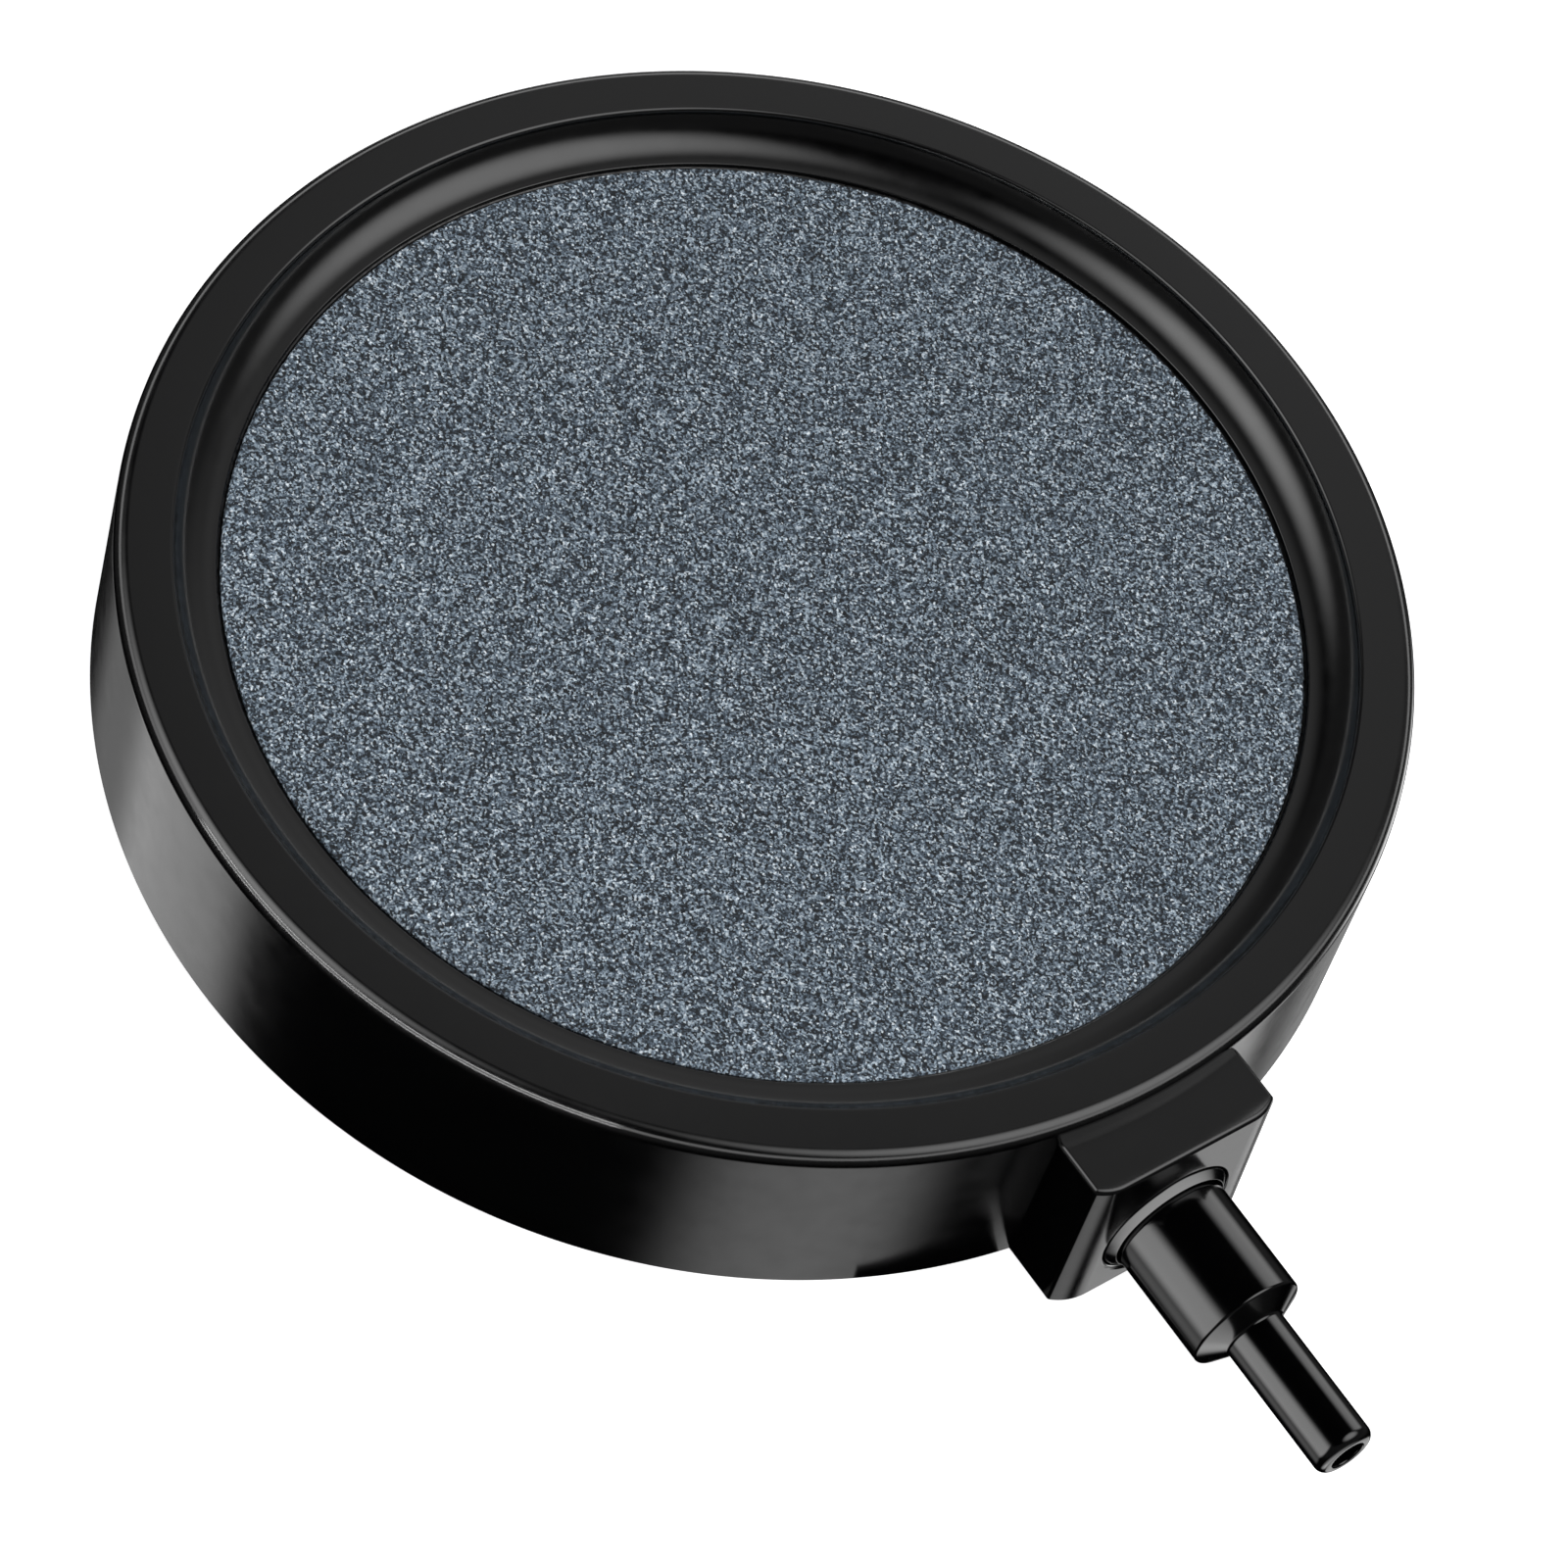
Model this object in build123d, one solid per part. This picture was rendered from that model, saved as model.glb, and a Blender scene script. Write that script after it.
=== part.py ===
from build123d import *
import math
import os

# Round air stone with a side hose connector. Millimetres, +Z up out of the stone.
# The origin is the centre of the flat base, and the connector points along +X.

# --- stone plate and the way it is held ---
stone_radius = 44.7
stone_thickness = 7.5
stone_edge_break = 0.35
bond_gap = 0.3  # adhesive between the stone's edge and its pocket
bond_sink = 0.35  # how far the adhesive stays below the stone's face
ledge_width = 3.5  # seat under the stone's edge

# --- moulded housing ---
floor_thickness = 2.5
duct_roof = 0.5  # plastic between the inlet duct and the stone's seat
cove_width = 3.65
cove_radius = 4.2  # hollow slope from the stone's edge up to the rim
cove_wall_height = 0.58  # upright wall between the cove and the rim
rim_width = 4.85
rim_inner_break = 0.36  # has to stay under cove_wall_height
rim_outer_radius = 1.2
pocket_wall = 2.3
skirt_wall = 2.2
deck_thickness = 2.5  # plastic left between the cove and the hollow under it
base_break = 0.3
rib_count = 12
rib_thickness = 1.6
rib_setback = 1.0  # ribs stop this far above the base

# --- boss on the skirt ---
boss_drop = 2.4  # boss top below the rim
boss_side_wall = 3.35
boss_bottom_wall = 0.85
boss_corner_radius = 4.6  # rounding between the front and each side
boss_corner_width = 3.0  # how far each rounding reaches in from its side
boss_draft = 1.5  # degrees
boss_edge_radius = 0.4
boss_root_wall = 2.2  # plastic round the tail bore inside the skirt
lip_radius = 0.25

# --- hose connector ---
hose_step_radius = 5.0
hose_step_length = 10.1
nipple_radius = 2.65
nipple_length = 12.3
shoulder_rise = 1.1  # cone between the hose step and the nipple
bore_radius = 1.45
tip_radius = 0.85
step_edge_radius = 0.3
nipple_root_radius = 0.3
neck_edge_radius = 0.15
mouth_chamfer = 0.2
neck_relief = 0.25  # neck in the collar is this much smaller than the hose step
neck_stand_off = 0.25  # hose step starts this far in front of the collar
flange_thickness = 1.9
tail_radius = 3.9
tail_length = 4.8
tail_chamfer = 0.4
duct_wall = 0.3
duct_radius = 1.5

# --- press-in collar that keeps the connector in the boss ---
collar_wall = 0.81
collar_seat_length = 4.35
collar_proud = 0.55
collar_slip = 0.04  # the collar slides over the hose step
collar_inner_chamfer = 0.15
collar_face_flat = 0.05  # flat left between the collar's two chamfers
recess_gap = 0.2
recess_depth = 1.5

# --- seal ---
groove_depth = 1.05
groove_width = 1.6
seal_width = 1.35
seal_corner_radius = 0.45
seal_setback = 1.3  # groove from the flange's back face

# --- clearances ---
running_clearance = 0.05
seal_clearance = 0.02
flange_clearance = 0.25
axial_play = 0.1
tail_end_gap = 0.15

# --- derived sizes ---
collar_inner_radius = hose_step_radius + collar_slip
collar_outer_radius = collar_inner_radius + collar_wall
recess_radius = collar_outer_radius + recess_gap
flange_radius = collar_outer_radius - flange_clearance
neck_radius = hose_step_radius - neck_relief
tail_bore_radius = tail_radius + running_clearance
nozzle_z = recess_radius + boss_bottom_wall

pocket_radius = stone_radius + bond_gap
pocket_outer_radius = pocket_radius + pocket_wall
rim_inner_radius = pocket_radius + cove_width
body_radius = rim_inner_radius + rim_width
skirt_inner_radius = body_radius - skirt_wall
ledge_radius = pocket_radius - ledge_width
ledge_z = nozzle_z + duct_radius + duct_roof
stone_top_z = ledge_z + stone_thickness
cove_rise = cove_radius - math.sqrt(cove_radius**2 - cove_width**2)
cove_top_z = stone_top_z + cove_rise
body_height = cove_top_z + cove_wall_height
hollow_top_z = stone_top_z - deck_thickness

tail_bore_start_x = pocket_outer_radius + duct_wall
tail_start_x = tail_bore_start_x + tail_end_gap
flange_back_x = tail_start_x + tail_length
flange_front_x = flange_back_x + flange_thickness
collar_seat_start_x = flange_back_x - axial_play
collar_back_x = flange_front_x + axial_play
boss_front_x = collar_back_x + collar_seat_length
collar_front_x = boss_front_x + collar_proud
hose_step_start_x = collar_front_x + neck_stand_off
hose_step_end_x = hose_step_start_x + hose_step_length
nipple_start_x = hose_step_end_x + shoulder_rise
nozzle_tip_x = nipple_start_x + nipple_length
groove_front_x = flange_back_x - seal_setback
groove_floor_radius = tail_radius - groove_depth

boss_height = body_height - boss_drop
boss_half_width = recess_radius + boss_side_wall
boss_flat_half_width = boss_half_width - boss_corner_width
boss_corner_turn = math.degrees(math.asin(boss_corner_width / boss_corner_radius))
boss_corner_drop = boss_corner_radius - math.sqrt(boss_corner_radius**2 - boss_corner_width**2)
cut_margin = 1.0  # how far a cutting tool runs past the faces it opens
match_tolerance = 0.01  # how closely an edge has to match a size to be picked


def lathe_z(*points):
    """Solid turned about Z from a closed outline of (radius, height) points."""
    with BuildPart() as turned:
        with BuildSketch(Plane.XZ):
            with BuildLine():
                Polyline(*points, close=True)
            make_face()
        revolve(axis=Axis.Z)
    return turned.part


def rod_x(radius, start_x, end_x):
    """Solid cylinder on the connector's axis, from start_x to end_x."""
    plane = Plane(origin=(start_x, 0, nozzle_z), z_dir=(1, 0, 0))
    return extrude(plane * Circle(radius), amount=end_x - start_x)


def tube_x(outer_radius, inner_radius, start_x, end_x):
    """Tube on the connector's axis."""
    outer = rod_x(outer_radius, start_x, end_x)
    return outer - rod_x(inner_radius, start_x - cut_margin, end_x + cut_margin)


def circles_at(solid, x, radius):
    """Circular edges of a turned piece at one station of the connector's axis."""
    found = []
    for edge in solid.edges().filter_by(GeomType.CIRCLE):
        same_station = abs(edge.center(CenterOf.BOUNDING_BOX).X - x) < match_tolerance
        if same_station and abs(edge.radius - radius) < match_tolerance:
            found.append(edge)
    return found


def rings_at(solid, z, radius):
    """Circular edges about Z of a turned piece at one height."""
    found = []
    for edge in solid.edges().filter_by(GeomType.CIRCLE):
        same_height = abs(edge.center(CenterOf.BOUNDING_BOX).Z - z) < match_tolerance
        if same_height and abs(edge.radius - radius) < match_tolerance:
            found.append(edge)
    return found


def make_bowl():
    """Skirt, rim, cove, stone pocket and floor, turned in one piece."""
    with BuildPart() as bowl:
        with BuildSketch(Plane.XZ):
            with BuildLine():
                cove_start = (pocket_radius, stone_top_z)
                cove_end = (rim_inner_radius, cove_top_z)
                rim_corner = (body_radius, body_height)
                Polyline(
                    (0, 0),
                    (pocket_outer_radius, 0),
                    (pocket_outer_radius, hollow_top_z),
                    (skirt_inner_radius, hollow_top_z),
                    (skirt_inner_radius, 0),
                    (body_radius - base_break, 0),
                    (body_radius, base_break),
                    rim_corner,
                    (rim_inner_radius, body_height),
                    cove_end,
                )
                RadiusArc(cove_end, cove_start, cove_radius)
                Polyline(
                    cove_start,
                    (pocket_radius, ledge_z),
                    (ledge_radius, ledge_z),
                    (ledge_radius, floor_thickness),
                    (0, floor_thickness),
                    (0, 0),
                )
            make_face()
        revolve(axis=Axis.Z)
    rounded = fillet(rings_at(bowl.part, body_height, body_radius), rim_outer_radius)
    return fillet(rings_at(rounded, body_height, rim_inner_radius), rim_inner_break)


def make_ribs():
    """Radial ribs that stiffen the hollow between pocket wall and skirt."""
    rib_height = hollow_top_z - rib_setback
    rib_length = skirt_inner_radius - pocket_outer_radius + skirt_wall
    rib_centre_x = (pocket_outer_radius + skirt_inner_radius) / 2
    rib_centre_z = rib_setback + rib_height / 2
    ribs = []
    for number in range(rib_count):
        angle = (number + 0.5) * 360 / rib_count
        rib = Box(rib_length, rib_thickness, rib_height)
        ribs.append(Rot(0, 0, angle) * Pos(rib_centre_x, 0, rib_centre_z) * rib)
    return ribs


def make_boss_outline(back_x, front_x):
    """Outline of the boss at its foot: a flat front that curves back to two straight sides."""
    side_x = front_x - boss_corner_drop
    arc_x = front_x - boss_corner_radius
    with BuildSketch() as outline:
        with BuildLine():
            Line((back_x, boss_half_width), (back_x, -boss_half_width))
            Line((back_x, -boss_half_width), (side_x, -boss_half_width))
            CenterArc(
                (arc_x, -boss_flat_half_width), boss_corner_radius, -boss_corner_turn, boss_corner_turn
            )
            Line((front_x, -boss_flat_half_width), (front_x, boss_flat_half_width))
            CenterArc((arc_x, boss_flat_half_width), boss_corner_radius, 0, boss_corner_turn)
            Line((side_x, boss_half_width), (back_x, boss_half_width))
        make_face()
    return outline.sketch


def boss_outer_edges(block):
    """Top edges of the boss except the one inside the skirt, and its two upright side edges."""
    top_edges = block.faces().sort_by(Axis.Z)[-1].edges()
    picked = top_edges.sort_by(Axis.X)[1:]
    for edge in block.edges():
        middle = edge.center()
        upright = edge.bounding_box().size.Z > boss_height / 2
        on_side = abs(middle.Y) > boss_half_width - boss_corner_width / 2
        if upright and on_side and middle.X > body_radius:
            picked.append(edge)
    return picked


def make_boss():
    """Drafted block on the skirt that carries the connector."""
    base_front_x = boss_front_x + nozzle_z * math.tan(math.radians(boss_draft))
    back_x = (pocket_outer_radius + skirt_inner_radius) / 2
    outline = make_boss_outline(back_x, base_front_x)
    block = extrude(outline, amount=boss_height, taper=boss_draft)
    block = fillet(boss_outer_edges(block), boss_edge_radius)
    inside = extrude(Circle(skirt_inner_radius + skirt_wall / 2), amount=body_height)
    return block - inside


def make_boss_root():
    """Solid block inside the skirt, round the tail bore."""
    root_half_width = tail_bore_radius + boss_root_wall
    start_x = pocket_outer_radius - pocket_wall / 2
    end_x = skirt_inner_radius + skirt_wall / 2
    block = Box(end_x - start_x, 2 * root_half_width, hollow_top_z)
    return Pos((start_x + end_x) / 2, 0, hollow_top_z / 2) * block


def make_housing():
    """The whole moulded dish, with the connector's seat cut into its boss."""
    body = make_bowl() + make_boss_root() + make_boss()
    for rib in make_ribs():
        body += rib
    body -= rod_x(duct_radius, ledge_radius - cut_margin, tail_bore_start_x + cut_margin)
    body -= rod_x(tail_bore_radius, tail_bore_start_x, collar_seat_start_x + cut_margin)
    body -= rod_x(collar_outer_radius, collar_seat_start_x, boss_front_x + cut_margin)
    body -= rod_x(recess_radius, boss_front_x - recess_depth, boss_front_x + cut_margin)
    return body


def round_recess_lip(body):
    """Round the front edge of the recess, which lies on the drafted face."""
    lip = []
    for edge in body.edges():
        box = edge.bounding_box()
        as_wide = abs(box.size.Y - 2 * recess_radius) < match_tolerance
        as_tall = abs(box.size.Z - 2 * recess_radius) < match_tolerance
        if as_wide and as_tall and box.min.X > boss_front_x - recess_depth / 2:
            lip.append(edge)
    return fillet(lip, lip_radius)


def make_stone():
    """Porous plate with a slightly broken edge."""
    low = ledge_z
    high = stone_top_z
    return lathe_z(
        (0, low),
        (stone_radius - stone_edge_break, low),
        (stone_radius, low + stone_edge_break),
        (stone_radius, high - stone_edge_break),
        (stone_radius - stone_edge_break, high),
        (0, high),
    )


def make_adhesive():
    """Bead that fills the gap between the stone's edge and its pocket."""
    low = ledge_z + stone_edge_break
    high = stone_top_z - bond_sink
    return lathe_z(
        (stone_radius, low),
        (pocket_radius, low),
        (pocket_radius, high),
        (stone_radius, high),
    )


def make_nozzle():
    """Stepped hose connector with its flange, sealing tail and through bore."""
    groove_back_x = groove_front_x - groove_width
    with BuildPart() as turned:
        with BuildSketch(Plane.XZ):
            with BuildLine():
                Polyline(
                    (tail_start_x, bore_radius),
                    (tail_start_x, tail_radius - tail_chamfer),
                    (tail_start_x + tail_chamfer, tail_radius),
                    (groove_back_x, tail_radius),
                    (groove_back_x, groove_floor_radius),
                    (groove_front_x, groove_floor_radius),
                    (groove_front_x, tail_radius),
                    (flange_back_x, tail_radius),
                    (flange_back_x, flange_radius),
                    (flange_front_x, flange_radius),
                    (flange_front_x, neck_radius),
                    (hose_step_start_x, neck_radius),
                    (hose_step_start_x, hose_step_radius),
                    (hose_step_end_x, hose_step_radius),
                    (nipple_start_x, nipple_radius),
                    (nozzle_tip_x, nipple_radius),
                    (nozzle_tip_x, bore_radius),
                    close=True,
                )
            make_face()
        revolve(axis=Axis.X)
    nozzle = Pos(0, 0, nozzle_z) * turned.part
    nozzle = fillet(circles_at(nozzle, nozzle_tip_x, nipple_radius), tip_radius)
    nozzle = fillet(circles_at(nozzle, nipple_start_x, nipple_radius), nipple_root_radius)
    nozzle = fillet(circles_at(nozzle, hose_step_end_x, hose_step_radius), step_edge_radius)
    nozzle = fillet(circles_at(nozzle, hose_step_start_x, hose_step_radius), neck_edge_radius)
    return chamfer(circles_at(nozzle, nozzle_tip_x, bore_radius), mouth_chamfer)


def make_collar():
    """Press-in ring that closes the boss in front of the connector's flange."""
    collar = tube_x(collar_outer_radius, collar_inner_radius, collar_back_x, collar_front_x)
    outer_chamfer = collar_wall - collar_inner_chamfer - collar_face_flat
    collar = chamfer(circles_at(collar, collar_front_x, collar_outer_radius), outer_chamfer)
    return chamfer(circles_at(collar, collar_front_x, collar_inner_radius), collar_inner_chamfer)


def make_seal():
    """O-ring as it sits squeezed in its groove."""
    inner = groove_floor_radius
    outer = tail_bore_radius - seal_clearance
    centre_x = groove_front_x - groove_width / 2
    section_centre = Plane.XZ * Pos(centre_x, nozzle_z + (inner + outer) / 2)
    section = section_centre * RectangleRounded(seal_width, outer - inner, seal_corner_radius)
    return revolve(section, Axis((0, 0, nozzle_z), (1, 0, 0)))


def main():
    os.makedirs("parts", exist_ok=True)
    nodes = {
        "housing": round_recess_lip(make_housing()),
        "stone_disc": make_stone(),
        "stone_adhesive": make_adhesive(),
        "nozzle": make_nozzle(),
        "retaining_collar": make_collar(),
        "nozzle_o_ring": make_seal(),
    }
    for name, solid in nodes.items():
        export_step(solid, f"parts/{name}.step")
    print("body radius", round(body_radius, 3), "height", round(body_height, 3))
    print("connector axis height", round(nozzle_z, 3), "tip at", round(nozzle_tip_x, 3))


main()
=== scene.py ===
# %% [markdown]
# A round air stone, built piece by piece.
# It stands on the floor of a tank or pond. Air comes in through the stepped hose connector,
# fills a low chamber and leaves as fine bubbles through a plate of bonded mineral grains.
# The measured frame gives every place and size. What is made here is how each piece looks.

import math

import bmesh
import bpy
import numpy as np
from mathutils import Matrix, Vector


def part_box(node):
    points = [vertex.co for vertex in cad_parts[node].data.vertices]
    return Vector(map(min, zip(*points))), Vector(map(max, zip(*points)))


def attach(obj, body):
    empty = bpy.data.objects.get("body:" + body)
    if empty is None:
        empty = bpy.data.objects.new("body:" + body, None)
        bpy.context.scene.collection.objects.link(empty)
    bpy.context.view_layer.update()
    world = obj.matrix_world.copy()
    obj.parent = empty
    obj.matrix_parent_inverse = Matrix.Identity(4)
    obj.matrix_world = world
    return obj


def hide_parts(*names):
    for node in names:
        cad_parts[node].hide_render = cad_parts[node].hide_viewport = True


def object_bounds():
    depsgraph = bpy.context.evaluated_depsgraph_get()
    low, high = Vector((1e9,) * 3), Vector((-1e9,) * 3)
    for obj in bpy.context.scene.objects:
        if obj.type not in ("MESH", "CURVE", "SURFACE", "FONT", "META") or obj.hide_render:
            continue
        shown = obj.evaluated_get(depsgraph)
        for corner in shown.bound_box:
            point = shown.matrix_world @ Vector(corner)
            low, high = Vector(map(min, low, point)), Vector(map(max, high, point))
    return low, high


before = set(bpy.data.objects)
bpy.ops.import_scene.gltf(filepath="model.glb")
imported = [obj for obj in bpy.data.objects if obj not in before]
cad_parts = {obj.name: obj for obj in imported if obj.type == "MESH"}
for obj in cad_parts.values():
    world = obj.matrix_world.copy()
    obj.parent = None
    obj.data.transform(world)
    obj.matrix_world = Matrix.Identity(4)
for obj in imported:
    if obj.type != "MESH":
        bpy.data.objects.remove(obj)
MM = 0.001
cad_box = [list(corner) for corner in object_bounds()]
print("frame nodes:", sorted(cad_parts))
print("frame box in mm:", [[round(c / MM, 2) for c in corner] for corner in cad_box])

# %% [markdown]
# The pieces have to sit exactly where the frame has them, so their outer sizes are read
# from the frame's boxes instead of being typed again. Typed sizes would be simpler to read,
# but they would drift away from the frame at its next change.

# %% Read the outer sizes
dish_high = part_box("housing")[1]
stone_low, stone_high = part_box("stone_disc")
bond_low, bond_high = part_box("stone_adhesive")
connector_low, connector_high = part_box("nozzle")
collar_low, collar_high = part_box("retaining_collar")

dish_radius = dish_high.y
dish_height = dish_high.z
stone_radius = stone_high.x
pocket_radius = bond_high.x
axis_height = (connector_low.z + connector_high.z) / 2
dish_width = round(2 * dish_radius / MM, 1)
print("dish", dish_width, "mm across and", round(dish_height / MM, 1), "mm tall")

# %% [markdown]
# Nearly every piece of an air stone is round, so it starts as half an outline that is
# swept round an axis, as on a lathe. Real moulded edges are never sharp: each corner of an
# outline gets its own small radius. A bevel modifier could round them too, but it gives all
# edges one width, and here the cove, the rim and the base all differ.

# %% Outlines with rounded corners
def rounded_outline(corners, steps=7):
    """Points of a closed outline. Each corner is (a, b, radius), all in mm."""
    points = []
    for index, (a, b, radius) in enumerate(corners):
        corner = Vector((a, b)) * MM
        if radius == 0:
            points.append(corner)
            continue
        before = Vector(corners[index - 1][:2]) * MM
        after = Vector(corners[(index + 1) % len(corners)][:2]) * MM
        back = (before - corner).normalized()
        onward = (after - corner).normalized()
        half_angle = back.angle(onward) / 2
        centre = corner + (back + onward).normalized() * (radius * MM / math.sin(half_angle))
        spoke = corner + back * (radius * MM / math.tan(half_angle)) - centre
        turn = math.pi - 2 * half_angle
        if back.x * onward.y - back.y * onward.x > 0:
            turn = -turn
        for step in range(steps + 1):
            angle = turn * step / steps
            cos, sin = math.cos(angle), math.sin(angle)
            swung = Vector((spoke.x * cos - spoke.y * sin, spoke.x * sin + spoke.y * cos))
            points.append(centre + swung)
    return points


# %% Turn points and faces into a piece
def mesh_piece(name, vertices, faces):
    """New object from points and faces, with its normals facing outwards."""
    mesh = bpy.data.meshes.new(name)
    mesh.from_pydata(vertices, [], faces)
    shell = bmesh.new()
    shell.from_mesh(mesh)
    bmesh.ops.remove_doubles(shell, verts=shell.verts, dist=1e-7)
    bmesh.ops.recalc_face_normals(shell, faces=shell.faces)
    shell.to_mesh(mesh)
    shell.free()
    piece = bpy.data.objects.new(name, mesh)
    bpy.context.scene.collection.objects.link(piece)
    return piece


# %% Sweep an outline round an axis
def turned(name, outline, steps, place):
    """Sweep (radius, along) points round an axis. place gives x, y, z of each swept point."""
    vertices, faces, rings = [], [], []
    for radius, along in outline:
        if radius < 1e-7:
            rings.append([len(vertices)] * steps)
            vertices.append(place(0.0, 0.0, along))
            continue
        rings.append(range(len(vertices), len(vertices) + steps))
        for step in range(steps):
            angle = 2 * math.pi * step / steps
            vertices.append(place(radius * math.cos(angle), radius * math.sin(angle), along))
    for index, ring in enumerate(rings):
        following = rings[(index + 1) % len(rings)]
        for step in range(steps):
            beside = (step + 1) % steps
            face = [ring[step], ring[beside], following[beside], following[step]]
            face = list(dict.fromkeys(face))
            if len(face) > 2:
                faces.append(face)
    return mesh_piece(name, vertices, faces)


# %% The two axes that things turn round
def upright(a, b, along):
    """Axis straight up through the middle of the dish."""
    return (a, b, along)


def along_connector(a, b, along):
    """Axis of the hose connector, which lies flat and points along +X."""
    return (along, a, axis_height + b)


# %% [markdown]
# The dish is one injection moulding: floor, pocket wall, seat for the stone, cove, rim and
# skirt. From below a moulder hollows out the ring between pocket and skirt, so that no wall
# is thick enough to sink. One outline holds all of that. A solid disc would look the same
# from above, but not from below.

# %% Sizes of the dish
pocket_wall = 2.3
skirt_wall = 2.2
deck = 2.5
stone_seat = 3.5
floor_thickness = 2.5
cove_width = 3.65
cove_radius = 4.2
rim_width = 4.85
rim_rounding = 1.2

outer = dish_radius / MM
top = dish_height / MM
pocket = pocket_radius / MM
pocket_outer = pocket + pocket_wall
stone_top = stone_high.z / MM
seat_height = stone_low.z / MM
hollow_top = stone_top - deck
skirt_inner = outer - skirt_wall
dish_steps = 384

# %% Turn the dish
cove_angle = math.asin(cove_width / cove_radius)
cove = [
    (pocket + cove_radius * math.sin(t), stone_top + cove_radius * (1 - math.cos(t)), 0)
    for t in np.linspace(cove_angle, 0, 20)[:-1]
]
dish_corners = [
    (0, 0, 0),
    (pocket_outer, 0, 0.2),
    (pocket_outer, hollow_top, 0.5),
    (skirt_inner, hollow_top, 0.5),
    (skirt_inner, 0, 0.2),
    (outer, 0, 0.3),
    (outer, top, rim_rounding),
    (outer - rim_width, top, 0.36),
    *cove,
    (pocket, stone_top, 0.12),
    (pocket, seat_height, 0.1),
    (pocket - stone_seat, seat_height, 0.2),
    (pocket - stone_seat, floor_thickness, 0.4),
    (0, floor_thickness, 0),
]
dish = turned("moulded_dish", rounded_outline(dish_corners), dish_steps, upright)
print("turned dish has", len(dish.data.polygons), "faces")

# %% [markdown]
# The boss that carries the connector is a block with 1.5 degrees of draft, so that it comes
# out of its mould. It is lofted from level outlines that get smaller on the way up, with a
# rounded top edge. Its flat front curves back to each side and meets it in a narrow edge.
# Scaling a cube would shrink those radii unevenly.

# %% Sizes of the boss
boss_half_width = 9.4
boss_corner = 4.6
boss_corner_width = 3.0
boss_edge = 0.4
boss_drop = 2.4
draft = math.tan(math.radians(1.5))
collar_proud = 0.55
boss_front = collar_high.x / MM - collar_proud + axis_height / MM * draft
boss_back = outer - 1.1
boss_top = top - boss_drop


# %% Outline of the boss at one height
def boss_level(height, inset):
    """Outline of the boss at one height, as points in space."""
    shrink = height * draft + inset
    side = boss_half_width - shrink
    radius = boss_corner - shrink
    middle = boss_half_width - boss_corner_width
    turn = math.asin((side - middle) / radius)
    curve = [
        (boss_front - boss_corner + radius * math.cos(t), middle + radius * math.sin(t), 0)
        for t in np.linspace(0, turn, 9)
    ]
    curve[-1] = (*curve[-1][:2], max(boss_edge - inset, 0.02))
    mirrored = [(x, -y, edge) for x, y, edge in reversed(curve)]
    flat = rounded_outline([(boss_back, -side, 0)] + mirrored + curve + [(boss_back, side, 0)])
    return [(point.x, point.y, height * MM) for point in flat]


# %% Skin over a stack of outlines
def lofted(name, levels):
    """Skin a stack of outlines that all have the same number of points."""
    count = len(levels[0])
    vertices = [point for level in levels for point in level]
    faces = [list(range(count)), list(range(len(vertices) - count, len(vertices)))]
    for level in range(len(levels) - 1):
        for index in range(count):
            beside = (index + 1) % count
            low, high = level * count, (level + 1) * count
            faces.append([low + index, low + beside, high + beside, high + index])
    return mesh_piece(name, vertices, faces)


# %% Loft the drafted boss
levels = [boss_level(0, 0.3), boss_level(0.09, 0.09), boss_level(0.3, 0)]
for step in range(8):
    angle = math.pi / 2 * step / 7
    height = boss_top - boss_edge * (1 - math.sin(angle))
    levels.append(boss_level(height, boss_edge * (1 - math.cos(angle))))
boss = lofted("boss", levels)
print("boss stands", round(boss_front - outer, 2), "mm in front of the skirt")

# %% [markdown]
# Under the deck, twelve ribs keep skirt and pocket wall apart, and a solid root surrounds the
# bore of the connector. Each is a bar with softened lower edges, swung round the middle. An
# array modifier could copy one rib, but separate bars can join the dish in one boolean.

# %% Make the ribs and the root of the boss
rib_count = 12
rib_thickness = 1.6
rib_setback = 1.0
root_half_width = 6.15


def bar(name, start, end, half_width, low, high, edge, angle):
    """Bar along a radius of the dish, with rounded lower edges."""
    corners = [
        (-half_width, high, 0),
        (-half_width, low, edge),
        (half_width, low, edge),
        (half_width, high, 0),
    ]
    section = rounded_outline(corners, steps=4)
    swing = Matrix.Rotation(angle, 3, "Z")
    levels = [
        [tuple(swing @ Vector((x * MM, point.x, point.y))) for point in section]
        for x in (start, end)
    ]
    return lofted(name, levels)


stiffeners = [
    bar("rib", pocket_outer - 1, skirt_inner + 1, rib_thickness / 2, rib_setback,
        hollow_top + 0.4, 0.3, 2 * math.pi * (number + 0.5) / rib_count)
    for number in range(rib_count)
]
stiffeners.append(
    bar("root", pocket_outer - 1, skirt_inner + 1, root_half_width, 0.01, hollow_top + 0.4, 0.3, 0)
)


# %% Join the mouldings into one
def apply_modifiers(piece):
    """Bake the piece's modifiers into its mesh."""
    shaped = piece.evaluated_get(bpy.context.evaluated_depsgraph_get())
    mesh = bpy.data.meshes.new_from_object(shaped)
    piece.modifiers.clear()
    piece.data = mesh


def combine(piece, tools, operation):
    """Add the tools to the piece, or cut them out of it."""
    for tool in tools:
        step = piece.modifiers.new(tool.name, "BOOLEAN")
        step.object = tool
        step.operation = operation
        step.solver = "EXACT"
    apply_modifiers(piece)
    for tool in tools:
        bpy.data.objects.remove(tool)


combine(dish, [boss] + stiffeners, "UNION")
print("dish with boss and ribs has", len(dish.data.polygons), "faces")

# %% [markdown]
# One stepped core pin leaves the whole bore in the real moulding: air duct, seal bore, seat
# of the retaining collar and the wider recess in the boss face. The same pin is turned here
# and cut out in a single step. Its flared end rounds the lip of the recess.

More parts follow.
